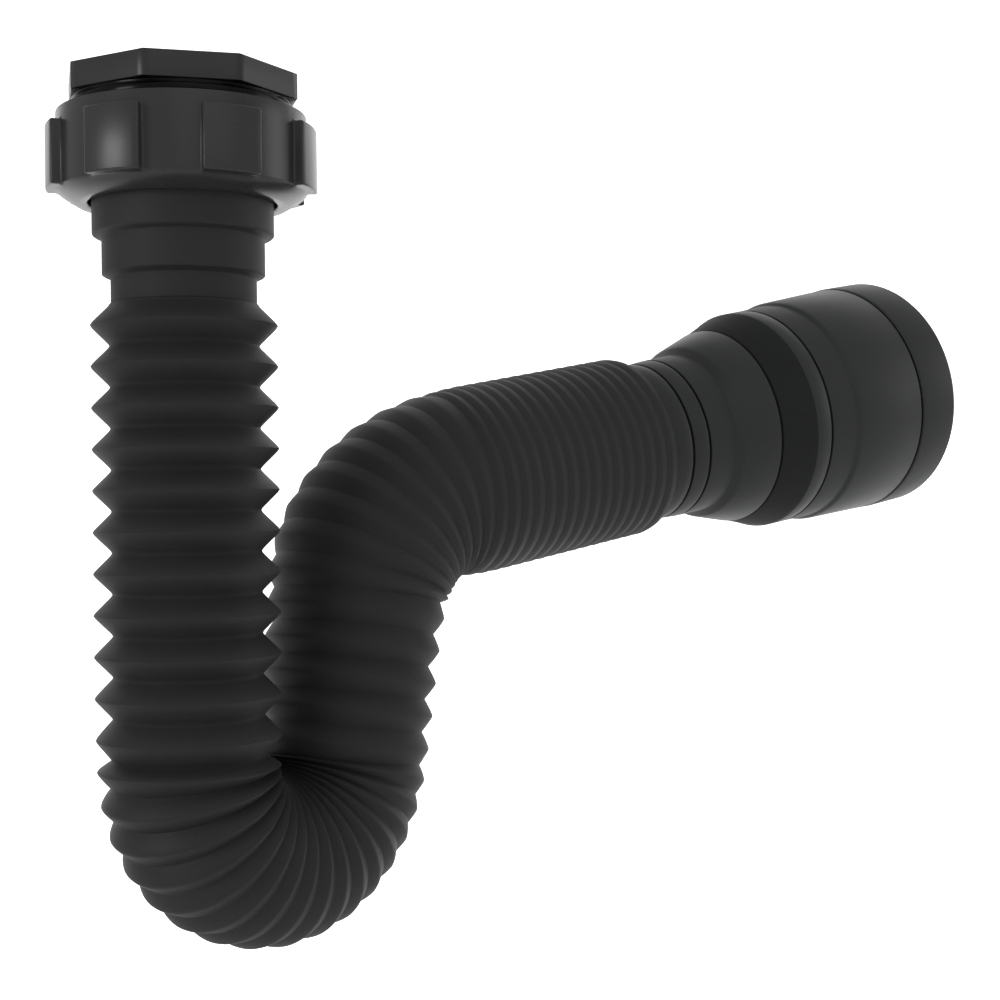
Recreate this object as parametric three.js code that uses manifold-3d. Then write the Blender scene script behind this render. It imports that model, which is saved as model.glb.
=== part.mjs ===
// Flexible accordion sink trap: threaded inlet adapter, coupling nut, corrugated tube bent into
// a P, and a stepped outlet sleeve. Millimetres, +Z up. The origin is on the inlet axis, at the
// top face of the adapter. The inlet leg hangs down -Z and the outlet arm leaves towards +X.
import * as THREE from "three";
import { mergeVertices } from "three/addons/utils/BufferGeometryUtils.js";
import Module from "manifold-3d";

const wasm = await Module();
wasm.setup();

const degrees = THREE.MathUtils.degToRad;

// ---------- driving dimensions ----------
const GAP = 0.3; // clearance between pieces that touch
const ROUND = 16; // sides of the turned pieces
const NUT_ROUND = 28; // sides of the nut's bores, four to each grip pad
const SLIVER = 0.01; // features smaller than this are dropped after a cut

// inlet adapter, from its top face down
const FLANGE_FLATS = 49.4; // across the flats of the octagon
const FLANGE_HEIGHT = 5.8;
const FLANGE_TURN = degrees(-108.5); // heading of one flat of the octagon
const SHOULDER_RADIUS = 25.2;
const SHOULDER_END = -9.0;
const ADAPTER_END = -19.7;
const WASTE_BORE = 20.9; // inside the G 1 1/4 thread that takes the basin waste
const WASTE_DEPTH = 13.5;
const ADAPTER_BORE = 18;

// G 1 1/2 pipe thread between adapter and nut
const THREAD_PITCH = 2.309;
const THREAD_TURNS = 2.5;
const THREAD_CORE = 22.4;
const THREAD_DEPTH = 1.5;
const THREAD_CLEARANCE = 0.5;
const THREAD_TOP = -11.6;

// coupling nut
const NUT_TOP = -9.3;
const NUT_PADS_END = -26.2;
const NUT_END = -28.9;
const NUT_RADIUS = 28.6;
const NUT_PAD_RADIUS = 30.2;
const NUT_PADS = 7;
const NUT_PAD_TURN = degrees(-92.5); // heading of one pad's middle
const NUT_PAD_WIDTH = degrees(27);
const NUT_PAD_SLOPE = degrees(3); // turn from a pad's edge down to the recess beside it
const NUT_RECESS_RADIUS = NUT_RADIUS - 1.2;
const NUT_THREAD_BORE = THREAD_CORE + THREAD_DEPTH + THREAD_CLEARANCE;
const NUT_HOLE = 21.1;
const NUT_FLOOR = -26.2;

// corrugated tube
const ROOT = 16.7; // outer radius in the valleys of the folds
const TUBE_BORE = 15.4;
const LEG_START = 51.4; // distance down the route at which the folds start
const LEG_FOLDS_LENGTH = 102;
const ARM_LENGTH = 64.2;
const LEG_CREST = 20.9; // outer radius on the folds, which grows as they are squeezed together
const BEND_CREST = 21.0;
const RISER_CREST = 21.6;
const ELBOW_CREST = 23.8;
const ARM_CREST = 24.9;

// tube end inside the nut, and the collars under it
const FLANGE_RADIUS = 23.9;
const COLLARS = [
  { radius: 20.3, end: -35.6 },
  { radius: 18.2, end: -44.7 },
  { radius: 16.3, end: -LEG_START + GAP / 2 },
];
const COLLAR_STEP = 0.9; // height of the slope between two collars
const COLLAR_WALL = 1.7;
const CUFF_BORE = TUBE_BORE - 0.6;

// route of the tube's centreline
const BEND_START = 155.6; // straight leg, from the top face of the adapter
const BEND_RADIUS = 24.7;
const BEND_TURN = degrees(170.8);
const BEND_HEADING = degrees(17.7); // plan direction in which the U swings the tube
const RISER_LENGTH = 40.8;
const ELBOW_RADIUS = 33;
const ARM_RISE = degrees(10.3); // slope of the arm above level

// outlet, measured along the arm from the end of the folds
const SPIGOT_RADIUS = 16.6;
const SPIGOT_LENGTH = 27;
const SPIGOT_RIB = 17.6;
const SEAL_START = 28.6;
const SEAL_WIDTH = 3;
const SEAL_RADIUS = 17.4;
const SLEEVE_BORE = 18.2;
const PIPE_50 = 25.2;
const PIPE_60 = 30.3;
const SLEEVE_END = 96;
const SLEEVE_OUTSIDE = [ // [radius, distance] from the folds to the mouth
  [21.4, 0.6], // slope at the folds
  [22.9, 5.8],
  [23.2, 7], // first ring
  [23.6, 12],
  [22.9, 12.8], // plain band
  [22.9, 24],
  [24.6, 25.4], // band that takes the 50 mm pipe
  [27.0, 35.8],
  [31.6, 43.6], // shoulder, and the band that takes the 60 mm pipe
  [31.6, 49.6],
  [32.0, 50.4],
  [32.3, 61],
  [32.8, 62],
  [34.1, 84],
  [34.4, 85], // lip
  [34.4, SLEEVE_END - 1],
  [33.7, SLEEVE_END],
];
const SLEEVE_INSIDE = [ // and back from the mouth to the seal
  [PIPE_60 + 0.6, SLEEVE_END],
  [PIPE_60, SLEEVE_END - 1.2],
  [PIPE_60, 64],
  [PIPE_50, 62.5],
  [PIPE_50, 42],
  [20, 38],
  [TUBE_BORE, 36],
];

const COLOURS = {
  tube: 0x29292a,
  adapter: 0x38383a,
  nut: 0x3a3a3b,
  sleeve: 0x40433f,
  rubber: 0x1c1c1d,
  hard: 0x303032,
};

const trap = new THREE.Group();

// ---------- helpers ----------
function addPiece(name, geometry, colour, roughness, parent = trap) {
  const material = new THREE.MeshStandardMaterial({ color: colour, roughness, metalness: 0 });
  const mesh = new THREE.Mesh(geometry, material);
  mesh.name = name;
  parent.add(mesh);
  return mesh;
}

// Turned ring round the Z axis: the outline is a closed loop of [radius, height] points.
function turned(outline, sides = ROUND) {
  const points = [...outline, outline[0]].map(([radius, height]) => new THREE.Vector2(radius, height));
  const geometry = new THREE.LatheGeometry(points, sides);
  geometry.rotateX(Math.PI / 2);
  return geometry;
}

function toSolid(geometry) {
  const bare = geometry.clone();
  bare.deleteAttribute("normal");
  bare.deleteAttribute("uv");
  const merged = mergeVertices(bare, 1e-4);
  const mesh = new wasm.Mesh({
    numProp: 3,
    vertProperties: new Float32Array(merged.attributes.position.array),
    triVerts: new Uint32Array(merged.index.array),
  });
  return new wasm.Manifold(mesh);
}

function toGeometry(solid) {
  const mesh = solid.getMesh();
  const geometry = new THREE.BufferGeometry();
  geometry.setAttribute("position", new THREE.BufferAttribute(mesh.vertProperties, 3));
  geometry.setIndex(new THREE.BufferAttribute(mesh.triVerts, 1));
  return geometry;
}

// Straight prism from an outline in plan, between two heights.
function prism(outline, bottom, top) {
  const shape = new THREE.Shape(outline.map(([x, y]) => new THREE.Vector2(x, y)));
  const geometry = new THREE.ExtrudeGeometry(shape, { depth: top - bottom, bevelEnabled: false });
  geometry.translate(0, 0, bottom);
  return geometry;
}

function polar(radius, heading) {
  return [radius * Math.cos(heading), radius * Math.sin(heading)];
}

// Helical ridge: a straight bar whose length is wrapped round a cylinder. The ridge stands on
// baseRadius and points outwards for a positive depth, inwards for a negative one.
function threadRidge(baseRadius, depth, startHeight, sides) {
  const sunk = -0.4 * Math.sign(depth);
  const half = THREAD_PITCH * 0.29;
  const tip = THREAD_PITCH * 0.09;
  const outline = [[sunk, half], [sunk, -half], [depth, -tip], [depth, tip]];
  const shape = new THREE.Shape(outline.map(([x, y]) => new THREE.Vector2(x, y)));
  const turns = THREAD_TURNS * 2 * Math.PI;
  const bar = new THREE.ExtrudeGeometry(shape, {
    depth: turns,
    steps: THREAD_TURNS * sides,
    bevelEnabled: false,
  });
  const place = bar.attributes.position;
  for (let i = 0; i < place.count; i += 1) {
    const angle = -place.getZ(i);
    const radius = baseRadius + place.getX(i);
    const height = startHeight + place.getY(i) + (THREAD_PITCH * angle) / (2 * Math.PI);
    place.setXYZ(i, radius * Math.cos(angle), radius * Math.sin(angle), height);
  }
  return bar;
}

// ---------- inlet adapter and its gasket ----------
function inletAdapter() {
  const corner = FLANGE_FLATS / 2 / Math.cos(Math.PI / 8);
  const octagon = [];
  for (let side = 0; side < 8; side += 1) {
    octagon.push(polar(corner, FLANGE_TURN + Math.PI / 8 + (side * Math.PI) / 4));
  }
  const flange = prism(octagon, -FLANGE_HEIGHT, 0);
  const spigot = turned([
    [WASTE_BORE - 4, ADAPTER_END],
    [THREAD_CORE, ADAPTER_END],
    [THREAD_CORE, SHOULDER_END],
    [SHOULDER_RADIUS - 1, SHOULDER_END],
    [SHOULDER_RADIUS, SHOULDER_END + 1],
    [SHOULDER_RADIUS, -FLANGE_HEIGHT + 0.5],
    [WASTE_BORE - 4, -FLANGE_HEIGHT + 0.5],
  ]);
  const bore = turned([
    [0, ADAPTER_END - 1],
    [ADAPTER_BORE, ADAPTER_END - 1],
    [ADAPTER_BORE, -WASTE_DEPTH],
    [WASTE_BORE, -WASTE_DEPTH],
    [WASTE_BORE, 1],
    [0, 1],
  ]);
  const ridge = threadRidge(THREAD_CORE, THREAD_DEPTH, THREAD_TOP, ROUND);
  const adapter = toSolid(flange).add(toSolid(spigot)).add(toSolid(ridge)).subtract(toSolid(bore));
  return toGeometry(adapter.simplify(SLIVER));
}

addPiece("inlet_adapter", inletAdapter(), COLOURS.adapter, 0.45);

addPiece("inlet_gasket", turned([
  [ADAPTER_BORE, -WASTE_DEPTH + GAP],
  [WASTE_BORE - 0.6, -WASTE_DEPTH + GAP],
  [WASTE_BORE - 0.6, -WASTE_DEPTH + GAP + 2],
  [ADAPTER_BORE, -WASTE_DEPTH + GAP + 2],
]), COLOURS.rubber, 0.85);

// ---------- coupling nut, and what it clamps ----------
function couplingNut() {
  const outline = [];
  const pitch = (2 * Math.PI) / NUT_PADS;
  for (let pad = 0; pad < NUT_PADS; pad += 1) {
    const middle = NUT_PAD_TURN + pad * pitch;
    for (const side of [-0.5, 0, 0.5]) {
      outline.push(polar(NUT_PAD_RADIUS, middle + side * NUT_PAD_WIDTH));
    }
    const edge = middle + 0.5 * NUT_PAD_WIDTH + NUT_PAD_SLOPE;
    const next = middle + pitch - 0.5 * NUT_PAD_WIDTH - NUT_PAD_SLOPE;
    outline.push(polar(NUT_RECESS_RADIUS, edge), polar(NUT_RECESS_RADIUS, next));
  }
  const pads = prism(outline, NUT_PADS_END, NUT_TOP - 2.6);
  const body = turned([
    [0, NUT_END],
    [NUT_HOLE + 2.2, NUT_END],
    [NUT_RADIUS - 1.5, NUT_PADS_END - 0.8],
    [NUT_RADIUS, NUT_PADS_END + 0.5],
    [NUT_RADIUS, NUT_TOP - 1],
    [NUT_RADIUS - 1, NUT_TOP],
    [0, NUT_TOP],
  ], NUT_ROUND);
  const bore = turned([
    [0, NUT_END - 1],
    [NUT_HOLE, NUT_END - 1],
    [NUT_HOLE, NUT_FLOOR],
    [NUT_THREAD_BORE + 0.3, NUT_FLOOR],
    [NUT_THREAD_BORE + 0.3, ADAPTER_END],
    [NUT_THREAD_BORE, ADAPTER_END],
    [NUT_THREAD_BORE, NUT_TOP + 1],
    [0, NUT_TOP + 1],
  ], NUT_ROUND);
  const ridge = threadRidge(NUT_THREAD_BORE, -THREAD_DEPTH, THREAD_TOP - THREAD_PITCH / 2, NUT_ROUND);
  const nut = toSolid(pads).add(toSolid(body)).subtract(toSolid(bore)).add(toSolid(ridge));
  return toGeometry(nut.simplify(SLIVER));
}

addPiece("coupling_nut", couplingNut(), COLOURS.nut, 0.35);

const slipRingTop = NUT_FLOOR + GAP + 1;
addPiece("slip_ring", turned([
  [NUT_HOLE + 0.5, NUT_FLOOR + GAP],
  [FLANGE_RADIUS, NUT_FLOOR + GAP],
  [FLANGE_RADIUS, slipRingTop],
  [NUT_HOLE + 0.5, slipRingTop],
]), COLOURS.hard, 0.5);

const washerTop = ADAPTER_END - GAP;
const washerBottom = washerTop - 2;
addPiece("sealing_washer", turned([
  [ADAPTER_BORE - 0.5, washerBottom],
  [FLANGE_RADIUS - 0.3, washerBottom],
  [FLANGE_RADIUS - 0.3, washerTop],
  [ADAPTER_BORE - 0.5, washerTop],
]), COLOURS.rubber, 0.85);

// ---------- stepped end of the tube ----------
// Down the outside over the collars, then back up the bore with a shelf at each collar.
function inletCuff() {
  const flangeTop = washerBottom - GAP;
  const flangeBottom = slipRingTop + GAP;
  const bores = COLLARS.map(({ radius }) => Math.max(radius - COLLAR_WALL, CUFF_BORE));
  const outside = [[FLANGE_RADIUS, flangeTop], [FLANGE_RADIUS, flangeBottom]];
  const inside = [[bores[0], flangeTop]];
  let start = flangeBottom;
  COLLARS.forEach(({ radius, end }, index) => {
    outside.push([radius, start], [radius, end]);
    if (index > 0) {
      const shelf = start + COLLAR_WALL;
      inside.push([bores[index - 1], shelf], [bores[index], shelf]);
    }
    start = end - COLLAR_STEP;
  });
  const lastEnd = COLLARS[COLLARS.length - 1].end;
  inside.push([bores[bores.length - 1], lastEnd]);
  return turned([...outside.reverse(), ...inside]);
}

addPiece("inlet_cuff", inletCuff(), COLOURS.tube, 0.55);

// ---------- route of the corrugated tube ----------
const down = new THREE.Vector3(0, 0, -1);
const swing = new THREE.Vector3(Math.cos(BEND_HEADING), Math.sin(BEND_HEADING), 0);

// One straight or curved stretch: start point, direction, inward side and length.
function straight(start, along, inward, length) {
  return { start, along, inward, length, radius: Infinity };
}

function arc(start, along, inward, radius, turn) {
  return { start, along, inward, length: radius * turn, radius };
}

// Point, direction and inward side at a distance into a stretch.
function frameIn(stretch, distance) {
  const { start, along, inward, radius } = stretch;
  if (radius === Infinity) {
    const point = start.clone().addScaledVector(along, distance);
    return { point, along: along.clone(), inward: inward.clone() };
  }
  const angle = distance / radius;
  const point = start.clone()
    .addScaledVector(along, radius * Math.sin(angle))
    .addScaledVector(inward, radius * (1 - Math.cos(angle)));
  const newAlong = along.clone().multiplyScalar(Math.cos(angle)).addScaledVector(inward, Math.sin(angle));
  const newInward = inward.clone().multiplyScalar(Math.cos(angle)).addScaledVector(along, -Math.sin(angle));
  return { point, along: newAlong, inward: newInward };
}

const armAlong = new THREE.Vector3(Math.cos(ARM_RISE), 0, Math.sin(ARM_RISE));
const leg = straight(new THREE.Vector3(), down, swing, BEND_START);
const legEnd = frameIn(leg, leg.length);
const bend = arc(legEnd.point, down, swing, BEND_RADIUS, BEND_TURN);
const bendEnd = frameIn(bend, bend.length);
const riser = straight(bendEnd.point, bendEnd.along, bendEnd.inward, RISER_LENGTH);
const riserEnd = frameIn(riser, riser.length);
const elbowTurn = riserEnd.along.angleTo(armAlong);
const elbowInward = armAlong.clone().addScaledVector(riserEnd.along, -Math.cos(elbowTurn)).normalize();
const elbow = arc(riserEnd.point, riserEnd.along, elbowInward, ELBOW_RADIUS, elbowTurn);
const elbowEnd = frameIn(elbow, elbow.length);
const arm = straight(elbowEnd.point, elbowEnd.along, elbowEnd.inward, ARM_LENGTH);
const route = [leg, bend, riser, elbow, arm];

function frameAt(distance) {
  let left = distance;
  let index = 0;
  while (index < route.length - 1 && left > route[index].length) {
    left -= route[index].length;
    index += 1;
  }
  return frameIn(route[index], left);
}

// Carries a turned piece, whose height is a distance down the route, onto the route.
function alongRoute(geometry) {
  const place = geometry.attributes.position;
  for (let i = 0; i < place.count; i += 1) {
    const { point, along, inward } = frameAt(place.getZ(i));
    const across = new THREE.Vector3().crossVectors(along, inward);
    point.addScaledVector(inward, place.getX(i)).addScaledVector(across, place.getY(i));
    place.setXYZ(i, point.x, point.y, point.z);
  }
  geometry.computeVertexNormals();
  return geometry;
}

// ---------- folds ----------
// Each stretch of the tube is split into sections of whole folds, from its start to its end.
const bendFoldsLength = leg.length + bend.length - LEG_START - LEG_FOLDS_LENGTH;
const stretches = [
  { name: "leg_folds", crest: LEG_CREST, length: LEG_FOLDS_LENGTH, sections: [4, 4, 3] },
  { name: "bend_folds", crest: BEND_CREST, length: bendFoldsLength, sections: [4, 4, 4, 4] },
  { name: "riser_folds", crest: RISER_CREST, length: riser.length, sections: [5] },
  { name: "elbow_folds", crest: ELBOW_CREST, length: elbow.length, sections: [4, 4] },
  { name: "arm_folds", crest: ARM_CREST, length: arm.length, sections: [4, 4, 4, 4] },
];

function foldedSection(start, pitch, folds, crest) {
  const first = start + GAP / 2;
  const last = start + folds * pitch - GAP / 2;
  const outside = [[ROOT, first]];
  const inside = [[TUBE_BORE, last]];
  for (let fold = 0; fold < folds; fold += 1) {
    outside.push([crest, start + (fold + 0.5) * pitch]);
    if (fold < folds - 1) {
      outside.push([ROOT, start + (fold + 1) * pitch]);
      inside.push([TUBE_BORE, last - (fold + 1) * pitch]);
    }
  }
  outside.push([ROOT, last]);
  inside.push([TUBE_BORE, first]);
  return alongRoute(turned([...outside, ...inside]));
}

let foldsEnd = LEG_START;
for (const { name, crest, length, sections } of stretches) {
  const pitch = length / sections.reduce((sum, folds) => sum + folds, 0);
  sections.forEach((folds, index) => {
    const nodeName = sections.length > 1 ? `${name}_${index + 1}` : name;
    addPiece(nodeName, foldedSection(foldsEnd, pitch, folds, crest), COLOURS.tube, 0.6);
    foldsEnd += folds * pitch;
  });
}

// ---------- outlet, built along a local Z axis that follows the arm ----------
const outlet = new THREE.Group();
const outletFrame = frameAt(foldsEnd);
outlet.position.copy(outletFrame.point);
const outletAcross = new THREE.Vector3().crossVectors(outletFrame.along, outletFrame.inward);
outlet.quaternion.setFromRotationMatrix(
  new THREE.Matrix4().makeBasis(outletFrame.inward, outletAcross, outletFrame.along),
);
trap.add(outlet);

addPiece("outlet_cuff", turned([
  [TUBE_BORE - 1, GAP / 2],
  [SPIGOT_RADIUS, GAP / 2],
  [SPIGOT_RADIUS, SPIGOT_LENGTH - 4],
  [SPIGOT_RIB, SPIGOT_LENGTH - 3.4],
  [SPIGOT_RIB, SPIGOT_LENGTH - 2],
  [SPIGOT_RADIUS, SPIGOT_LENGTH],
  [TUBE_BORE - 1, SPIGOT_LENGTH],
]), COLOURS.tube, 0.55, outlet);

addPiece("outlet_seal", turned([
  [TUBE_BORE - 0.6, SEAL_START],
  [SEAL_RADIUS, SEAL_START],
  [SEAL_RADIUS, SEAL_START + SEAL_WIDTH],
  [TUBE_BORE - 0.6, SEAL_START + SEAL_WIDTH],
]), COLOURS.rubber, 0.85, outlet);

addPiece("outlet_sleeve", turned([
  [SLEEVE_BORE, SLEEVE_OUTSIDE[0][1]],
  ...SLEEVE_OUTSIDE,
  ...SLEEVE_INSIDE,
  [TUBE_BORE, SEAL_START + SEAL_WIDTH + GAP],
  [SLEEVE_BORE, SEAL_START + SEAL_WIDTH + GAP],
]), COLOURS.sleeve, 0.5, outlet);

export default trap;
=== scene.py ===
# %% [markdown]
# # A flexible sink trap
#
# The real object is a black plastic sink trap: a screwed adapter, a coupling nut, one corrugated tube bent
# into a P, and a stepped sleeve for the waste pipe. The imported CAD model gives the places, the bodies and
# the joints, and this script builds the finished surfaces around them. Every outline is written in
# millimetres and turned to metres when a piece is finished, so the numbers read like a drawing.

import math

import bmesh
import bpy
from mathutils import Matrix, Vector


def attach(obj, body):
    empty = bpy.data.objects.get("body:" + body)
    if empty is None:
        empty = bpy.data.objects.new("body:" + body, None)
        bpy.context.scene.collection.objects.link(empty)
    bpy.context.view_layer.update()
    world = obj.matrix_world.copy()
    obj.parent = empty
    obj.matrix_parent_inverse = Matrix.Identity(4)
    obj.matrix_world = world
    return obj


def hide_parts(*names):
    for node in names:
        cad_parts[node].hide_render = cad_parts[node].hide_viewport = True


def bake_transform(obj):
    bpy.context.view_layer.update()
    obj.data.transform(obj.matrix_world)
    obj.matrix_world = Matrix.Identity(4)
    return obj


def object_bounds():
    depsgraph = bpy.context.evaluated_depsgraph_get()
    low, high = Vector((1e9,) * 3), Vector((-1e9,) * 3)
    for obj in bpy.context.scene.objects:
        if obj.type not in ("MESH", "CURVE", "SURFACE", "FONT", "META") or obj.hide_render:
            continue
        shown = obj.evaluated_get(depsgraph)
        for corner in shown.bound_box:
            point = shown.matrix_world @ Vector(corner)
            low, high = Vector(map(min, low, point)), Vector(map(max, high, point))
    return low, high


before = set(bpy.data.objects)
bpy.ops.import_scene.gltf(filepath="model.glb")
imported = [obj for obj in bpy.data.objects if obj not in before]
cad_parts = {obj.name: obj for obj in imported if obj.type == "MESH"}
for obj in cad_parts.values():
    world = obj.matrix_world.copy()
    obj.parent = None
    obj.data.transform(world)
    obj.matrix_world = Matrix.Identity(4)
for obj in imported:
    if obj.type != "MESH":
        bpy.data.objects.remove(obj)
cad_box = [list(corner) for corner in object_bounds()]

# %% [markdown]
# ## Turning, bevelling and finishing
#
# Almost every part of a trap is round, because it is turned or moulded on a core. Such a piece could be a
# cylinder with modifiers, but an outline that is spun once round the axis keeps every step and groove
# exact. The spin starts from a closed loop of a few vertices, so the wall has its thickness from the start.
# Sharp ring edges are then bevelled, since moulded plastic never has a perfectly sharp edge and the small
# round catches the light.

# %% Helpers for turned pieces
MM = 0.001
TURN_STEPS = 96


def turned(outline, steps=TURN_STEPS, heading=0.0):
    """A closed outline of (radius, height) points, spun round the Z axis."""
    bm = bmesh.new()
    direction = Vector((math.cos(heading), math.sin(heading), 0))
    points = [bm.verts.new(direction * radius + Vector((0, 0, height))) for radius, height in outline]
    edges = [bm.edges.new((points[i - 1], points[i])) for i in range(len(points))]
    bmesh.ops.spin(
        bm,
        geom=points + edges,
        cent=(0, 0, 0),
        axis=(0, 0, 1),
        angle=2 * math.pi,
        steps=steps,
        use_merge=True,
    )
    bmesh.ops.remove_doubles(bm, verts=bm.verts, dist=1e-4)
    bmesh.ops.recalc_face_normals(bm, faces=bm.faces)
    return bm


def soften(bm, width, angle=28, segments=2):
    """Bevels every edge that turns by more than the angle, in degrees."""
    limit = math.radians(angle)
    sharp = [e for e in bm.edges if e.is_manifold and e.calc_face_angle() > limit]
    bmesh.ops.bevel(
        bm,
        geom=sharp,
        offset=width,
        segments=segments,
        profile=0.5,
        affect="EDGES",
        clamp_overlap=True,
        material=-1,
    )
    return bm


def finish_piece(name, bm, material, replaced=()):
    """Makes the object in metres, shades it, and hides the CAD nodes it stands for."""
    bmesh.ops.scale(bm, vec=(MM, MM, MM), verts=bm.verts)
    mesh = bpy.data.meshes.new(name)
    bm.to_mesh(mesh)
    bm.free()
    mesh.shade_smooth()
    mesh.set_sharp_from_angle(angle=math.radians(50))
    mesh.materials.append(material)
    piece = bpy.data.objects.new(name, mesh)
    bpy.context.scene.collection.objects.link(piece)
    for node in replaced:
        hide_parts(node)
    print(name, "faces:", len(mesh.polygons))
    return piece


# %% [markdown]
# ## Materials
#
# Polypropylene, rubber and nylon differ less in colour than in how they scatter light. Each finish below is
# one Principled surface with two noises: a broad one that varies the colour and the gloss as uneven
# moulding does, and a fine one that lifts a grain. The grain of the real tools is about 0.1 mm; it is drawn
# two to four times as coarse so that it still shows in a render of the whole trap.

# %% Material helpers
def linear(hex_colour):
    """An sRGB hex colour as linear RGBA."""
    values = [int(hex_colour[i : i + 2], 16) / 255 for i in (1, 3, 5)]
    return [v / 12.92 if v <= 0.04045 else ((v + 0.055) / 1.055) ** 2.4 for v in values] + [1.0]


def add_node(tree, kind, settings=None, **inputs):
    """Adds a node, sets its options, and sets or links its inputs by name."""
    node = tree.nodes.new(kind)
    for key, value in (settings or {}).items():
        setattr(node, key, value)
    for key, value in inputs.items():
        socket = node.inputs[key.replace("_", " ")]
        if isinstance(value, bpy.types.NodeSocket):
            tree.links.new(value, socket)
        else:
            socket.default_value = value
    return node


def moulded(name, dark, light, roughness, grain_mm, grain_height_mm, ior=1.49, specular=0.5):
    """A moulded surface: broad colour and gloss variation, and a fine raised grain."""
    material = bpy.data.materials.new(name)
    material.use_nodes = True
    tree = material.node_tree
    shader = tree.nodes["Principled BSDF"]
    shader.inputs["IOR"].default_value = ior
    shader.inputs["Specular IOR Level"].default_value = specular
    place = add_node(tree, "ShaderNodeTexCoord").outputs["Object"]
    broad = add_node(tree, "ShaderNodeTexNoise", Vector=place, Scale=1 / 0.035, Detail=3.0, Roughness=0.55)
    tint = add_node(tree, "ShaderNodeMix", {"data_type": "RGBA"}, Factor=broad.outputs["Fac"])
    tint.inputs[6].default_value = linear(dark)
    tint.inputs[7].default_value = linear(light)
    tree.links.new(tint.outputs[2], shader.inputs["Base Color"])
    gloss = add_node(tree, "ShaderNodeMapRange", Value=broad.outputs["Fac"])
    gloss.inputs["From Min"].default_value = 0.3
    gloss.inputs["From Max"].default_value = 0.7
    gloss.inputs["To Min"].default_value = roughness[0]
    gloss.inputs["To Max"].default_value = roughness[1]
    tree.links.new(gloss.outputs["Result"], shader.inputs["Roughness"])
    grain = add_node(tree, "ShaderNodeTexNoise", Vector=place, Scale=1 / (grain_mm * MM), Detail=2.0)
    relief = add_node(
        tree, "ShaderNodeBump", Height=grain.outputs["Fac"], Distance=grain_height_mm * MM, Strength=1.0
    )
    tree.links.new(relief.outputs["Normal"], shader.inputs["Normal"])
    return material


# %% [markdown]
# The tube is blow-moulded polypropylene. The hot parison touches a sand-blasted mould, so the skin is matte
# and nearly black, with a soft sheen only where a fold turns to the light.

# %% Tube plastic
tube_plastic = moulded(
    "blow_moulded_polypropylene", "#1f1f1f", "#262626", (0.55, 0.68), 0.35, 0.02, specular=0.25
)

# %% [markdown]
# The adapter and the nut are injection-moulded in a polished tool, so they are smoother than the tube and
# show soft highlights on their flats and pads. The adapter's shoulder, under the flange, is drawn
# near-black:
# painted shade for the dark gap between the flange and the nut.

# %% Adapter and nut plastic
adapter_plastic = moulded(
    "moulded_polypropylene_adapter", "#232324", "#29292a", (0.28, 0.36), 0.5, 0.006, specular=0.3
)
adapter_shoulder_painted_shade = moulded(
    "polished_adapter_plastic_painted_shade", "#080808", "#0c0c0c", (0.16, 0.22), 0.5, 0.003, specular=0.1
)
nut_plastic = moulded(
    "moulded_polypropylene_nut", "#29292a", "#2f2f30", (0.24, 0.32), 0.5, 0.006, specular=0.3
)

# %% [markdown]
# The outlet sleeve is a soft thermoplastic rubber. It is greyer than the tube, with a faint green cast and
# a satin surface. The seals are plain black rubber, and the slip ring is hard nylon.

# %% Rubber and nylon
sleeve_rubber = moulded(
    "thermoplastic_rubber_sleeve", "#222423", "#282a29", (0.42, 0.52), 0.45, 0.012, specular=0.25
)
# A darker, rougher copy of the sleeve rubber: painted shade for the sleeve's cone and cut grooves.
cone_and_groove_painted_shade = moulded(
    "textured_sleeve_rubber_painted_shade", "#191a1a", "#1e1f1f", (0.6, 0.7), 0.45, 0.03, specular=0.15
)
seal_rubber = moulded("pressed_black_rubber", "#141414", "#1c1c1c", (0.7, 0.85), 0.4, 0.03, ior=1.52)
ring_plastic = moulded("moulded_nylon_ring", "#222223", "#2a2a2b", (0.35, 0.45), 0.4, 0.008, ior=1.53)
print("materials:", len(bpy.data.materials))

# %% [markdown]
# ## The inlet adapter
#
# The adapter is a bush with an octagonal flange for a spanner, a round shoulder, a bore with a thread for
# the basin waste and an outside thread for the nut. It could be an octagonal prism joined to a tube, but a
# boolean leaves ragged faces at the joint. Here the whole outline is turned with twelve steps to each flat,
# and the flange's rim is then drawn out to the octagon.

# %% Adapter dimensions
FLANGE_FLATS = 49.4
FLANGE_HEIGHT = 5.8
FLANGE_TURN = math.radians(-108.5)
SHOULDER_RADIUS = 25.2
SHOULDER_END = -9.0
ADAPTER_END = -19.7
WASTE_BORE = 20.9
WASTE_DEPTH = 13.5
ADAPTER_BORE = 18.0
THREAD_PITCH = 2.309
THREAD_CORE = 22.4
STEPS_PER_FLAT = 12


def octagon_radius(heading):
    """Distance from the axis to the octagon's edge in a direction."""
    side = math.radians(45)
    off_middle = (heading - FLANGE_TURN + side / 2) % side - side / 2
    return FLANGE_FLATS / 2 / math.cos(off_middle)


# %% [markdown]
# A thread is a helix. A spin that also climbs a little at every step draws one from a single outline, and
# the ridge is sunk slightly into its core so that the two read as one surface.

# %% Thread ridge
def thread(core, depth, top, turns, steps_per_turn=48):
    """A helical ridge on a core radius, pointing outwards for a positive depth."""
    bm = bmesh.new()
    sunk = -0.3 if depth > 0 else 0.3
    outline = [
        (core + sunk, 0.32 * THREAD_PITCH),
        (core + depth, 0.07 * THREAD_PITCH),
        (core + depth, -0.07 * THREAD_PITCH),
        (core + sunk, -0.32 * THREAD_PITCH),
    ]
    lowest = top - turns * THREAD_PITCH
    points = [bm.verts.new((radius, 0, lowest + height)) for radius, height in outline]
    start = bm.faces.new(points)
    bmesh.ops.spin(
        bm,
        geom=[start],
        cent=(0, 0, 0),
        axis=(0, 0, 1),
        dvec=(0, 0, THREAD_PITCH / steps_per_turn),
        angle=turns * 2 * math.pi,
        steps=round(turns * steps_per_turn),
    )
    bmesh.ops.recalc_face_normals(bm, faces=bm.faces)
    return bm


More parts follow.
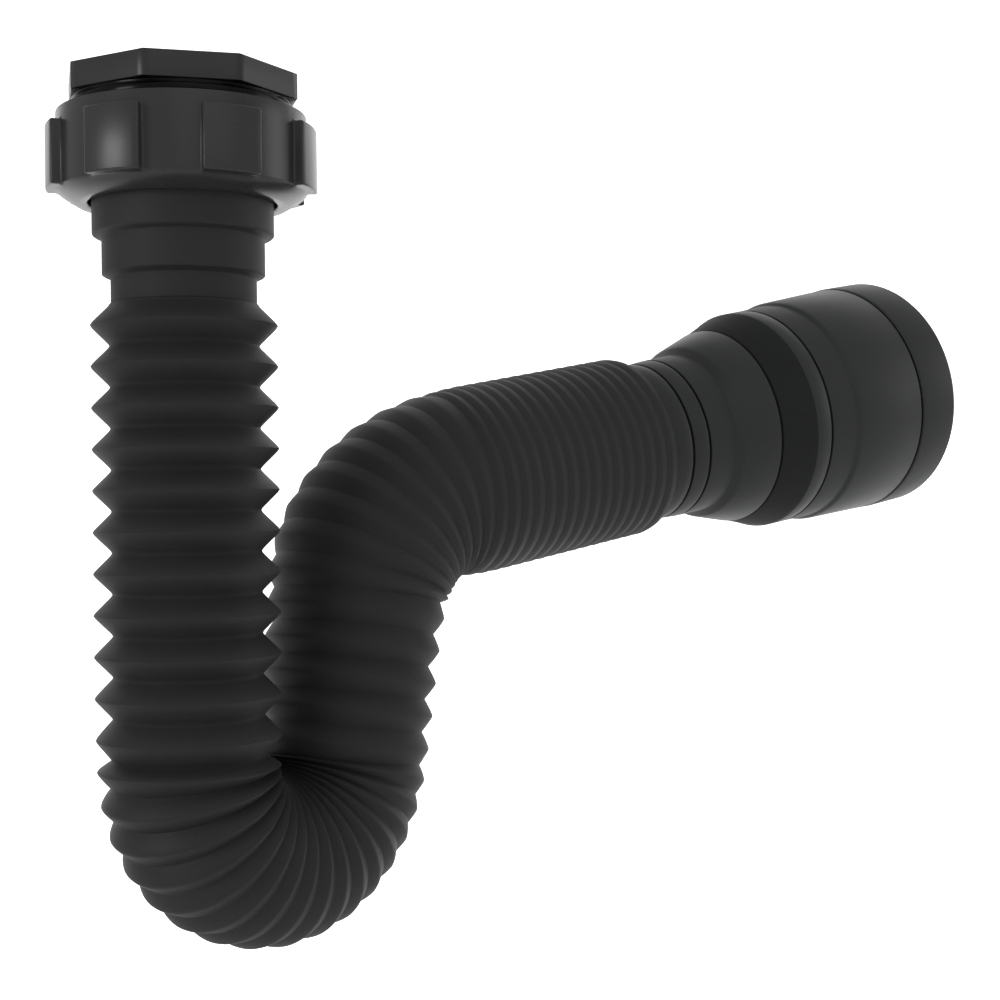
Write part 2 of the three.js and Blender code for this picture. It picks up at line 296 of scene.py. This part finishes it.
def join(bm, other):
    """Adds the other bmesh to the first one."""
    holder = bpy.data.meshes.new("holder")
    other.to_mesh(holder)
    other.free()
    bm.from_mesh(holder)
    bpy.data.meshes.remove(holder)


# %% Build the adapter
adapter = turned(
    [
        (WASTE_BORE, 0),
        (FLANGE_FLATS / 2, 0),
        (FLANGE_FLATS / 2, -FLANGE_HEIGHT),
        (SHOULDER_RADIUS - 0.9, -FLANGE_HEIGHT),
        (SHOULDER_RADIUS - 0.9, -FLANGE_HEIGHT - 0.9),
        (SHOULDER_RADIUS, -FLANGE_HEIGHT - 1.2),
        (SHOULDER_RADIUS, SHOULDER_END + 0.8),
        (SHOULDER_RADIUS - 1, SHOULDER_END),
        (THREAD_CORE, SHOULDER_END),
        (THREAD_CORE, ADAPTER_END),
        (ADAPTER_BORE, ADAPTER_END),
        (ADAPTER_BORE, -WASTE_DEPTH),
        (WASTE_BORE, -WASTE_DEPTH),
    ],
    steps=8 * STEPS_PER_FLAT,
    heading=FLANGE_TURN,
)
for vert in adapter.verts:
    radius = vert.co.xy.length
    if radius > SHOULDER_RADIUS - 1 and vert.co.z > -FLANGE_HEIGHT - 0.01:
        if radius > FLANGE_FLATS / 2 - 0.1:
            wanted = octagon_radius(math.atan2(vert.co.y, vert.co.x))
            vert.co.xy = vert.co.xy * (wanted / radius)
soften(adapter, 0.45, angle=30, segments=3)
join(adapter, thread(THREAD_CORE, 1.5, -11.0, 3.2))
join(adapter, thread(WASTE_BORE, -1.0, -1.6, 4.2))
adapter_piece = finish_piece(
    "adapter_body", adapter, adapter_plastic, ["inlet_adapter"]
)
adapter_piece.data.materials.append(adapter_shoulder_painted_shade)
# Faces below the flange take the near-black material: painted shade in the gap between flange and nut.
for face in adapter_piece.data.polygons:
    if face.center.z < -FLANGE_HEIGHT * MM:
        face.material_index = 1
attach(adapter_piece, "adapter")

# %% [markdown]
# The gasket lies on the ledge inside the adapter. It is a plain washer with a rounded outer edge, pressed
# from sheet rubber.

# %% Inlet gasket
GASKET_BOTTOM = -WASTE_DEPTH + 0.3
gasket = turned(
    [
        (ADAPTER_BORE, GASKET_BOTTOM),
        (WASTE_BORE - 0.6, GASKET_BOTTOM),
        (WASTE_BORE - 0.6, GASKET_BOTTOM + 2),
        (ADAPTER_BORE, GASKET_BOTTOM + 2),
    ]
)
soften(gasket, 0.3, segments=3)
gasket_piece = finish_piece("gasket_ring", gasket, seal_rubber, ["inlet_gasket"])
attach(gasket_piece, "adapter")

# %% [markdown]
# ## The coupling nut
#
# The nut is tightened by hand, so it has seven raised pads with hollows between them. The pads could be
# seven separate blocks, but they are part of the same moulding: the nut is turned with sixteen steps to
# each pad, the wall faces under a pad are extruded outwards, and the bevel rounds their edges afterwards.

# %% Nut dimensions
NUT_TOP = -9.3
NUT_PADS_TOP = -11.9
NUT_PADS_END = -26.2
NUT_END = -28.9
NUT_RECESS = 27.9
NUT_PAD_RADIUS = 30.2
NUT_PADS = 7
NUT_PAD_TURN = math.radians(-92.5)
NUT_HOLE = 21.1
NUT_FLOOR = -26.2
NUT_THREAD_BORE = 24.4
STEPS_PER_PAD = 16
PAD_STEPS = 8

# %% Build the nut
pad_turn = 2 * math.pi / NUT_PADS
nut = turned(
    [
        (NUT_HOLE, NUT_END),
        (NUT_HOLE + 2.6, NUT_END),
        (NUT_RECESS - 1.2, NUT_PADS_END - 0.9),
        (NUT_RECESS, NUT_PADS_END),
        (NUT_RECESS, NUT_PADS_TOP),
        (NUT_RECESS, NUT_TOP + 0.7),
        (NUT_RECESS - 0.7, NUT_TOP),
        (NUT_THREAD_BORE, NUT_TOP),
        (NUT_THREAD_BORE, NUT_FLOOR),
        (NUT_HOLE, NUT_FLOOR),
    ],
    steps=NUT_PADS * STEPS_PER_PAD,
    heading=NUT_PAD_TURN + pad_turn * PAD_STEPS / STEPS_PER_PAD / 2,
)


def under_a_pad(face):
    """Whether an outer wall face of the nut lies under one of the pads."""
    middle = face.calc_center_median()
    if middle.xy.length < NUT_THREAD_BORE + 1 or not NUT_PADS_END < middle.z < NUT_PADS_TOP:
        return False
    turn = (math.atan2(middle.y, middle.x) - NUT_PAD_TURN + pad_turn / 2) % pad_turn - pad_turn / 2
    return abs(turn) < pad_turn * PAD_STEPS / STEPS_PER_PAD / 2


walls = [face for face in nut.faces if under_a_pad(face)]
raised = bmesh.ops.extrude_face_region(nut, geom=walls)
for vert in [item for item in raised["geom"] if isinstance(item, bmesh.types.BMVert)]:
    vert.co.xy = vert.co.xy * (NUT_PAD_RADIUS / vert.co.xy.length)
bmesh.ops.delete(nut, geom=[face for face in walls if face.is_valid], context="FACES")
soften(nut, 0.8, angle=32, segments=3)
join(nut, thread(NUT_THREAD_BORE, -1.4, -11.0 - THREAD_PITCH / 2, 3))
nut_piece = finish_piece("nut_body", nut, nut_plastic, ["coupling_nut"])
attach(nut_piece, "nut")

# %% [markdown]
# Inside the nut lie the slip ring, which lets the nut turn without dragging the tube, and the washer that
# seals the tube against the adapter. They show only when the nut is undone, but a repair drawing needs
# them.

# %% Slip ring and sealing washer
SLIP_RING_BOTTOM = NUT_FLOOR + 0.3
FLANGE_RADIUS = 23.9
WASHER_TOP = ADAPTER_END - 0.3
slip_ring = turned(
    [
        (NUT_HOLE + 0.5, SLIP_RING_BOTTOM),
        (FLANGE_RADIUS, SLIP_RING_BOTTOM),
        (FLANGE_RADIUS, SLIP_RING_BOTTOM + 1),
        (NUT_HOLE + 0.5, SLIP_RING_BOTTOM + 1),
    ]
)
soften(slip_ring, 0.2)
slip_ring_piece = finish_piece("nylon_slip_ring", slip_ring, ring_plastic, ["slip_ring"])
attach(slip_ring_piece, "union_ring")
washer = turned(
    [
        (ADAPTER_BORE - 0.5, WASHER_TOP - 2),
        (FLANGE_RADIUS - 0.3, WASHER_TOP - 2),
        (FLANGE_RADIUS - 0.3, WASHER_TOP),
        (ADAPTER_BORE - 0.5, WASHER_TOP),
    ]
)
soften(washer, 0.35, segments=3)
washer_piece = finish_piece("rubber_washer", washer, seal_rubber, ["sealing_washer"])
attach(washer_piece, "tube_inlet")

# %% [markdown]
# ## The tube's upper end
#
# Above its folds the tube ends in two stepped collars and a flange that the nut clamps. The steps let the
# same blow mould make ends for different nuts. The lower corner of each collar is rounded, because the soft
# wall can't fill a sharp corner of the mould.

# %% Cuff
LEG_START = 51.4
COLLARS = [(20.3, -35.6), (18.2, -44.7), (16.3, -LEG_START)]
COLLAR_STEP = 0.9
CUFF_BORE = 14.8
CUFF_WALL = 1.7
COLLAR_CORNER = 0.35
FLANGE_TOP = WASHER_TOP - 2.3
FLANGE_BOTTOM = SLIP_RING_BOTTOM + 1.3
outside = [(FLANGE_RADIUS, FLANGE_TOP), (FLANGE_RADIUS, FLANGE_BOTTOM)]
inside = [(COLLARS[0][0] - CUFF_WALL, FLANGE_TOP)]
top = FLANGE_BOTTOM
for number, (radius, end) in enumerate(COLLARS):
    outside += [(radius, top), (radius, end)]
    if number == 0:
        outside += [(radius - COLLAR_CORNER, end - COLLAR_CORNER)]
    bore = max(radius - CUFF_WALL, CUFF_BORE)
    if number > 0:
        inside += [(inside[-1][0], top + CUFF_WALL), (bore, top + CUFF_WALL)]
    top = end - COLLAR_STEP
inside += [(CUFF_BORE, -LEG_START)]
cuff = turned(outside + inside[::-1])
soften(cuff, 0.55, angle=26, segments=3)
cuff_piece = finish_piece("cuff_body", cuff, tube_plastic, ["inlet_cuff"])
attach(cuff_piece, "tube_inlet")

# %% [markdown]
# ## The route of the tube
#
# One centre line carries the whole tube: straight down, round a U, up the riser, round an elbow and out
# along the arm. A curve object with a bevel could follow it, but the folds need an outline along the tube
# and not across it. So the route is a function that gives, for a distance down the tube, the point, the
# direction and the side that faces the middle of the bend.

# %% Route
BEND_START = 155.6
BEND_RADIUS = 24.7
BEND_TURN = math.radians(170.8)
BEND_HEADING = math.radians(17.7)
RISER_LENGTH = 40.8
ELBOW_RADIUS = 33.0
ARM_LENGTH = 64.2
ARM_RISE = math.radians(10.3)


def route_frame(start, along, inward, radius, distance):
    """Point, direction and inward side at a distance into a straight (radius None) or an arc."""
    if radius is None:
        return start + along * distance, along, inward
    angle = distance / radius
    point = start + along * (radius * math.sin(angle)) + inward * (radius * (1 - math.cos(angle)))
    new_along = along * math.cos(angle) + inward * math.sin(angle)
    new_inward = inward * math.cos(angle) - along * math.sin(angle)
    return point, new_along, new_inward


# %% Lay out the route
down = Vector((0, 0, -1))
swing = Vector((math.cos(BEND_HEADING), math.sin(BEND_HEADING), 0))
arm_along = Vector((math.cos(ARM_RISE), 0, math.sin(ARM_RISE)))
route = [(Vector((0, 0, 0)), down, swing, None, BEND_START)]
route.append((Vector((0, 0, -BEND_START)), down, swing, BEND_RADIUS, BEND_RADIUS * BEND_TURN))
route.append((*route_frame(*route[-1]), None, RISER_LENGTH))
elbow_start, riser_along, _ = route_frame(*route[-1])
elbow_turn = riser_along.angle(arm_along)
elbow_inward = (arm_along - riser_along * math.cos(elbow_turn)).normalized()
route.append((elbow_start, riser_along, elbow_inward, ELBOW_RADIUS, ELBOW_RADIUS * elbow_turn))
route.append((*route_frame(*route[-1]), None, ARM_LENGTH))


def frame_at(distance):
    """Point, direction and inward side at a distance down the whole route."""
    for start, along, inward, radius, length in route[:-1]:
        if distance <= length:
            return route_frame(start, along, inward, radius, distance)
        distance -= length
    return route_frame(*route[-1][:4], distance)


print("route length:", round(sum(part[4] for part in route), 1), "mm")

# %% [markdown]
# A turned piece is moved onto the route ring by ring. The rings must not twist against each other, and the
# side that faces the bend jumps where the U's plane ends and the elbow's begins. So every ring takes its
# side from one fixed direction, square to the U, that is then squared up to the tube.

# %% Move a piece onto the route
across = down.cross(swing)


def along_route(bm):
    """Moves a turned piece, whose height is a distance down the tube, onto the route."""
    for vert in bm.verts:
        point, along, _ = frame_at(vert.co.z)
        side = (across - along * across.dot(along)).normalized()
        vert.co = point + side * vert.co.x + along.cross(side) * vert.co.y
    bmesh.ops.recalc_face_normals(bm, faces=bm.faces)
    return bm


# %% [markdown]
# ## The folds
#
# The tube is an accordion: 56 folds of one thin wall. Where it is pulled out, in the leg, the folds are
# open Vs and their crests stand about 4 mm above the valleys. Where it is pushed together, the valleys are
# squeezed outwards and the folds are packed into low ribs, down to less than half a millimetre in the arm.
# A real fold has a small round at its crest and its valley, so the outline is a triangle wave with rounded
# turns, and a power of it makes the crest fuller. The folds stop short of the end of the route, where the
# sleeve begins.

# %% Fold sizes
ROOT = 16.7
WALL_AT_ROOT = 1.3
LEG_LENGTH = 102.0
BEND_LENGTH = BEND_START + BEND_RADIUS * BEND_TURN - LEG_START - LEG_LENGTH
SLEEVE_OVERLAP = 5.0
STRETCHES = [
    # length, crest and valley radius, fullness of the fold, folds in each jointed section
    (LEG_LENGTH, 20.9, 16.7, 1.0, [4, 4, 3]),
    (BEND_LENGTH / 4, 20.3, 17.8, 0.85, [4]),
    (BEND_LENGTH / 4, 20.1, 18.8, 0.8, [4]),
    (BEND_LENGTH / 2, 20.8, 19.7, 0.8, [4, 4]),
    (RISER_LENGTH, 21.7, 19.2, 0.85, [5]),
    (ELBOW_RADIUS * elbow_turn, 23.5, 22.6, 0.75, [4, 4]),
    (ARM_LENGTH - SLEEVE_OVERLAP, 24.8, 24.4, 0.75, [4, 4, 4, 4]),
]

# %% Shape of one fold
ROUNDNESS = 0.02
INNER_HEIGHT = 0.7
FOLD_SHARES = [0, 0.04, 0.09, 0.2, 0.32, 0.43, 0.5, 0.57, 0.68, 0.8, 0.91, 0.96]
INNER_SHARES = [0, 0.12, 0.4, 0.5, 0.6, 0.88]


def wave(share, fullness):
    """From 0 in a valley to 1 on a crest. A power below 1 makes the crest wide and the valley narrow."""
    flat = math.acos(1 - ROUNDNESS) / math.pi
    raw = 1 - math.acos((1 - ROUNDNESS) * math.cos(2 * math.pi * (share - 0.5))) / math.pi
    return max((raw - flat) / (1 - 2 * flat), 0) ** fullness


# %% Lay out the folds
folds = []
section_starts = []
cuts = [0]
position = LEG_START
for length, crest, valley, fullness, sections in STRETCHES:
    pitch = length / sum(sections)
    for count in sections:
        section_starts.append(len(folds))
        cuts.append(len(folds) + (count + 1) // 2)
        for _ in range(count):
            folds.append((position, pitch, crest, valley, fullness))
            position += pitch
cuts.append(len(folds))
FOLDS_END = position
print("folds:", len(folds), "sections:", len(section_starts), "end:", round(FOLDS_END, 1))

# %% [markdown]
# The stretches above have one size each, but a real tube passes from one to the next over a few folds. So
# each fold's size is averaged with its neighbours' a few times, and within a fold it changes towards its
# ends.

# %% Smooth the sizes from fold to fold
SMOOTHING_ROUNDS = 3
for _ in range(SMOOTHING_ROUNDS):
    padded = folds[:1] + folds + folds[-1:]
    for index in range(len(folds)):
        shared = [
            (padded[index][column] + 2 * padded[index + 1][column] + padded[index + 2][column]) / 4
            for column in (2, 3, 4)
        ]
        folds[index] = (*folds[index][:2], *shared)


def eased(column, index, share):
    """A fold's crest, valley or fullness, shared with its neighbour towards its ends."""
    near = min(max(index + (1 if share > 0.5 else -1), 0), len(folds) - 1)
    return folds[index][column] + (folds[near][column] - folds[index][column]) * abs(share - 0.5)


# %% Outline of the wall
def outer_points(first, last):
    """(radius, distance) points over the outside of the wall, from one fold to another."""
    points = []
    for index in range(first, last):
        start, pitch = folds[index][:2]
        for share in FOLD_SHARES:
            valley = eased(3, index, share)
            height = eased(2, index, share) - valley
            points.append((valley + height * wave(share, eased(4, index, share)), start + share * pitch))
    return points + [(eased(3, last - 1, 1), folds[last - 1][0] + folds[last - 1][1])]


def inner_points(first, last):
    """The same over the inside, where the folds are lower."""
    points = []
    low = ROOT - WALL_AT_ROOT
    for index in range(first, last):
        start, pitch, crest = folds[index][:3]
        for share in INNER_SHARES:
            radius = low + (crest - ROOT) * INNER_HEIGHT * wave(share, 1)
            points.append((radius, start + share * pitch))
    return points + [(low, folds[last - 1][0] + folds[last - 1][1])]


# %% [markdown]
# Each piece of the tube spans one joint of the frame, from the middle of one section to the middle of the
# next, so the skin is whole across every joint. For each piece the two ends of a blend across its joint are
# worked out. On a slide they are the ends of the piece. On a bend they lie a short reach either side of the
# hinge, which sits in the outer valley. The reach is kept so short that its ends fall inside the
# neighbouring folds even at the tight inner side.

# %% Bodies and CAD nodes along the tube
bodies = ["tube_inlet", "leg_1", "leg_2", "leg_3", "bend_1", "bend_2", "bend_3", "bend_4", "riser"]
bodies += ["elbow_1", "elbow_2", "arm_1", "arm_2", "arm_3", "arm_4", "tube_outlet"]
section_nodes = [f"leg_folds_{i}" for i in (1, 2, 3)] + [f"bend_folds_{i}" for i in (1, 2, 3, 4)]
section_nodes += ["riser_folds", "elbow_folds_1", "elbow_folds_2"]
section_nodes += [f"arm_folds_{i}" for i in (1, 2, 3, 4)]

# %% Ends of the blend across each joint
BEND_BLEND = 1.3
ELBOW_BLEND = 2.6
BLEND_REACH = {"bend": BEND_BLEND, "riser": BEND_BLEND, "elbow": ELBOW_BLEND, "arm_1": ELBOW_BLEND}


def blend_ends(number):
    """Start and end, in mm, of the blend across the joint in a piece of the tube."""
    child = bodies[number + 1]
    for word, reach in BLEND_REACH.items():
        if child.startswith(word):
            point, along, _ = frame_at(folds[section_starts[number]][0])
            return point - along * reach, point + along * reach
    first = folds[cuts[number]][0]
    last_fold = folds[cuts[number + 1] - 1]
    return frame_at(first)[0], frame_at(last_fold[0] + last_fold[1])[0]


# %% Build the tube
for number in range(len(cuts) - 1):
    first, last = cuts[number], cuts[number + 1]
    shell = along_route(turned(outer_points(first, last) + inner_points(first, last)[::-1]))
    replaced = section_nodes[number : number + 1]
    piece = finish_piece(f"tube_piece_{number + 1:02d}", shell, tube_plastic, replaced)
    start, end = blend_ends(number)
    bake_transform(piece)

# %% [markdown]
# ## The outlet
#
# The arm ends in a plain spigot, hidden inside a soft sleeve. The sleeve steps up for a 50 mm and a 60 mm
# waste pipe, and is cut back to the size that is wanted; thin grooves show where to cut. Both are turned
# upright like the other pieces and then laid along the arm.

# %% Outlet frame
arm_point, arm_dir, arm_in = frame_at(FOLDS_END + SLEEVE_OVERLAP)
arm_matrix = Matrix((arm_in, arm_dir.cross(arm_in), arm_dir)).transposed().to_4x4()
arm_matrix.translation = arm_point


def laid_on_arm(bm):
    """Lays a piece that was turned upright along the arm, with its foot at the end of the route."""
    bmesh.ops.transform(bm, matrix=arm_matrix, verts=bm.verts)
    return bm


# %% Spigot and seal
spigot = turned(
    [
        (14.4, -SLEEVE_OVERLAP),
        (16.6, -SLEEVE_OVERLAP),
        (16.6, 23),
        (17.6, 23.6),
        (17.6, 25),
        (16.6, 27),
        (14.4, 27),
    ]
)
soften(spigot, 0.4, segments=3)
spigot_piece = finish_piece(
    "spigot_body", laid_on_arm(spigot), tube_plastic, ["outlet_cuff"]
)
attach(spigot_piece, "tube_outlet")
seal = turned([(14.8, 28.6), (17.4, 28.6), (17.4, 31.6), (14.8, 31.6)])
soften(seal, 0.6, segments=4)
seal_piece = finish_piece("sleeve_seal", laid_on_arm(seal), seal_rubber, ["outlet_seal"])
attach(seal_piece, "seal")

# %% [markdown]
# The sleeve's outside is a row of bands. Between them lies either a soft step or a narrow square groove,
# which shows where to cut. The grooves and the cone take a darker, rougher rubber. The darker colour is
# painted shade in the narrow grooves and on the cone, which faces back towards the tube, away from the
# light.

# %% Sleeve dimensions
SLEEVE_START = 0.6 - SLEEVE_OVERLAP
SLEEVE_END = 95.6
GROOVE_DEPTH = 1.4
GROOVE_HALF_WIDTH = 0.4
GROOVES = [(22.1, 3.2), (22.5, 8.9), (28.0, 30.7), (31.7, 46.5), (33.8, 81.4)]
CONE_START = 31.0
CONE_END = 40.6


def groove(number):
    """Four points of a narrow square groove in one of the sleeve's bands."""
    radius, distance = GROOVES[number]
    low = radius - GROOVE_DEPTH
    near = distance - GROOVE_HALF_WIDTH
    far = distance + GROOVE_HALF_WIDTH
    return [(radius, near), (low, near), (low, far), (radius, far)]


# %% Build the sleeve
SLEEVE_STEPS = 128
CONE_BORE = 25.2
sleeve_outside = [(20.9, SLEEVE_START), (21.9, 0.6)] + groove(0) + [(22.4, 7.6)] + groove(1)
sleeve_outside += [(22.6, 18.2), (24.4, 19.4), (24.9, 20.2)] + groove(2)
sleeve_outside += [(30.9, 39.4), (31.6, 40.9)] + groove(3)
sleeve_outside += [(31.9, 56.2), (32.6, 57.0), (32.9, 58.0)] + groove(4)
sleeve_outside += [(34.0, 82.6), (34.0, SLEEVE_END - 1.0), (33.4, SLEEVE_END)]
sleeve_inside = [(30.9, SLEEVE_END), (30.3, 94.4), (30.3, 64.0), (CONE_BORE, 62.5), (CONE_BORE, 42.0)]
sleeve_inside += [(20.0, 38.0), (15.4, 36.0), (15.4, 31.9), (18.2, 31.9), (18.2, SLEEVE_START)]
sleeve = turned(sleeve_outside + sleeve_inside, steps=SLEEVE_STEPS)
soften(sleeve, 0.22, angle=24, segments=2)
sleeve_piece = finish_piece(
    "sleeve_body", laid_on_arm(sleeve), sleeve_rubber, ["outlet_sleeve"]
)
sleeve_piece.data.materials.append(cone_and_groove_painted_shade)
# Faces on the cone and in the cut grooves take the darker copy: painted shade.
for face in sleeve_piece.data.polygons:
    offset = face.center / MM - arm_point
    along = offset.dot(arm_dir)
    on_cone = CONE_START < along < CONE_END and (offset - arm_dir * along).length > CONE_BORE + 0.3
    if on_cone or min(abs(along - distance) for _, distance in GROOVES) < GROOVE_HALF_WIDTH + 0.01:
        face.material_index = 1
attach(sleeve_piece, "sleeve")

# %% [markdown]
# ## Camera
#
# The camera stands level with the middle of the trap, in front of it and to the left, so that the inlet leg
# is upright and the arm comes forward to the right.

# %% Camera
CAMERA_PLACE = Vector((-156.3, -359.5, -98.8)) * MM
CAMERA_HEADING = math.radians(33.89)
CAMERA_PITCH = 0.0066
CAMERA_ROLL = -0.0135
CAMERA_FOCAL_SHARE = 1.707

level = Vector((math.sin(CAMERA_HEADING), math.cos(CAMERA_HEADING), 0))
to_right = Vector((math.cos(CAMERA_HEADING), -math.sin(CAMERA_HEADING), 0))
up = Vector((0, 0, 1))
forward = level * math.cos(CAMERA_PITCH) + up * math.sin(CAMERA_PITCH)
camera_up = up * math.cos(CAMERA_PITCH) - level * math.sin(CAMERA_PITCH)
rolled_right = to_right * math.cos(CAMERA_ROLL) + camera_up * math.sin(CAMERA_ROLL)
rolled_up = camera_up * math.cos(CAMERA_ROLL) - to_right * math.sin(CAMERA_ROLL)

# %% Set up the camera
lens = bpy.data.cameras.new("camera")
lens.sensor_width = 36
lens.lens = 36 * CAMERA_FOCAL_SHARE
lens.clip_start = 0.01
camera = bpy.data.objects.new("camera", lens)
bpy.context.scene.collection.objects.link(camera)
turn = Matrix((rolled_right, rolled_up, -forward)).transposed().to_4x4()
camera.matrix_world = Matrix.Translation(CAMERA_PLACE) @ turn
bpy.context.scene.camera = camera

# %% [markdown]
# ## Studio
#
# A dark object on white needs a bright sweep behind it and only a little light in front. The sweep is one
# sheet of paper, floor and wall in one, far enough below for the tube to clear it when the U is opened. It
# glows behind the trap and fades to plain paper in front, so that the undersides stay dark. A large soft
# box in front lights the whole trap, and small ones at the left and the right give the tall highlights on
# the nut and the sleeve.

# %% Paper sweep
FLOOR_DROP = 0.4
floor_height = cad_box[0][2] - FLOOR_DROP
sweep_bm = bmesh.new()
sweep_outline = [(-3.0, 0.0), (1.6, 0.0)]
for step in range(1, 9):
    angle = math.radians(90) * step / 8
    sweep_outline.append((1.6 + 0.6 * math.sin(angle), 0.6 * (1 - math.cos(angle))))
sweep_outline.append((2.2, 3.0))
row = [
    sweep_bm.verts.new(level * distance + Vector((0, 0, floor_height + height)) - to_right * 3)
    for distance, height in sweep_outline
]
strip = [sweep_bm.edges.new((row[i - 1], row[i])) for i in range(1, len(row))]
spread = bmesh.ops.extrude_edge_only(sweep_bm, edges=strip)
moved = [item for item in spread["geom"] if isinstance(item, bmesh.types.BMVert)]
bmesh.ops.translate(sweep_bm, verts=moved, vec=to_right * 6)
sweep_mesh = bpy.data.meshes.new("paper_sweep")
sweep_bm.to_mesh(sweep_mesh)
sweep_bm.free()
sweep_mesh.shade_smooth()
sweep = bpy.data.objects.new("paper_sweep", sweep_mesh)
bpy.context.scene.collection.objects.link(sweep)

# %% Paper material
paper = bpy.data.materials.new("white_background_paper")
paper.use_nodes = True
paper_shader = paper.node_tree.nodes["Principled BSDF"]
paper_shader.inputs["Base Color"].default_value = linear("#f2f2f2")
paper_shader.inputs["Roughness"].default_value = 0.9
paper_shader.inputs["Emission Color"].default_value = (1, 1, 1, 1)
paper_place = add_node(paper.node_tree, "ShaderNodeTexCoord").outputs["Object"]
depth = add_node(paper.node_tree, "ShaderNodeVectorMath", {"operation": "DOT_PRODUCT"}, Vector=paper_place)
depth.inputs[1].default_value = level
glow = add_node(paper.node_tree, "ShaderNodeMapRange", Value=depth.outputs["Value"])
glow.inputs["From Min"].default_value = 0.2
glow.inputs["From Max"].default_value = 1.25
glow.inputs["To Min"].default_value = 0.1
glow.inputs["To Max"].default_value = 0.85
paper.node_tree.links.new(glow.outputs["Result"], paper_shader.inputs["Emission Strength"])
sweep_mesh.materials.append(paper)

# %% Light and colour
world = bpy.data.worlds.new("studio")
bpy.context.scene.world = world
world.use_nodes = True
world.node_tree.nodes["Background"].inputs["Color"].default_value = (1, 1, 1, 1)
world.node_tree.nodes["Background"].inputs["Strength"].default_value = 0.6


def soft_box(name, place, target, size, power):
    """A square area light that looks at a target point."""
    data = bpy.data.lights.new(name, "AREA")
    data.size = size
    data.energy = power
    light = bpy.data.objects.new(name, data)
    bpy.context.scene.collection.objects.link(light)
    aim = (Vector(target) - Vector(place)).to_track_quat("-Z", "Y")
    light.matrix_world = Matrix.Translation(place) @ aim.to_matrix().to_4x4()
    return light


middle = Vector((0.09, 0.0, -0.1))
soft_box("front_box", Vector((-0.1, -1.0, 0.45)), middle, 1.0, 1.2)
soft_box("left_box", Vector((-0.85, -0.14, 0.05)), middle, 0.25, 1.9)
soft_box("right_box", Vector((0.95, -0.4, 0.1)), middle, 0.4, 0.8)
soft_box("top_box", Vector((0.2, -0.2, 0.9)), middle, 0.8, 0.3)
bpy.context.scene.view_settings.view_transform = "Standard"
